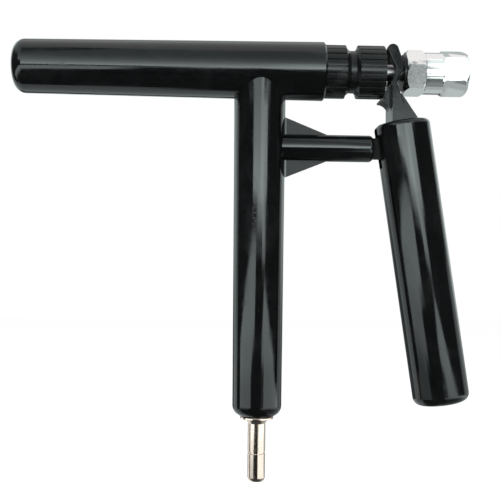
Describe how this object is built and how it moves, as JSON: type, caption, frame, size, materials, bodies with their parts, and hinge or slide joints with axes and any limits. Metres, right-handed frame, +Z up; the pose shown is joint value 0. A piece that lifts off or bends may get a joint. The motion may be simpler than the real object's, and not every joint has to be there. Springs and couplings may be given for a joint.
{
  "type": "hand vacuum pump",
  "caption": "Squeeze-lever hand vacuum pump: black T-shaped barrel and grip, ribbed end cap, forked lever, bright hex rod fittings and a plated hose plug",
  "frame": {"origin": "On the grip's axis, at the shoulder where the straight hose plug begins", "axes": "+X along the barrel towards the rod fittings, +Z up the grip to the barrel, +Y away from the viewer of the picture, across the symmetry plane"},
  "size_m": [0.2197, 0.028, 0.2104],
  "materials": {
    "black_gloss": "polished black moulding",
    "black_satin": "satin black moulding",
    "black_metal": "black enamelled casting",
    "bright_metal": "bright machined",
    "rod_steel": "ground steel",
    "plated_metal": "warm nickel plate",
    "seal_rubber": "moulded rubber",
    "bush_brass": "turned brass"
  },
  "bodies": {
    "pump": {"pump_body": "black_gloss", "end_cap": "black_satin", "cap_gasket": "seal_rubber", "rod_bush": "bush_brass", "return_spring": "rod_steel", "valve_plate": "bush_brass", "valve_seal": "seal_rubber", "inlet_valve": "seal_rubber", "port_plug": "plated_metal", "port_washer": "plated_metal", "port_seal": "seal_rubber"},
    "piston": {"piston_rod": "rod_steel", "piston": "black_satin", "piston_cup": "seal_rubber", "piston_washer": "rod_steel", "piston_nut": "rod_steel", "thrust_washer": "black_satin", "rod_nut": "bright_metal", "cap_nut": "bright_metal"},
    "lever": {"lever_handle": "black_gloss", "lever_yoke": "black_metal", "pivot_pin": "rod_steel"}
  },
  "joints": [
    {"name": "lever_squeeze", "type": "hinge", "parent": "pump", "child": "lever", "pos_m": [0.065, 0, 0.1318], "axis": [0, 1, 0], "range_deg": [0, 20]},
    {"name": "piston_slide", "type": "slide", "parent": "pump", "child": "piston", "axis": [1, 0, 0], "range_m": [0, 0.0137], "stiffness_N_per_m": 1330, "springref_m": -0.002, "deforming": ["return_spring"]}
  ],
  "couplings": [
    {"joint": "piston_slide", "follows": "lever_squeeze", "m_per_rad": 0.039}
  ]
}
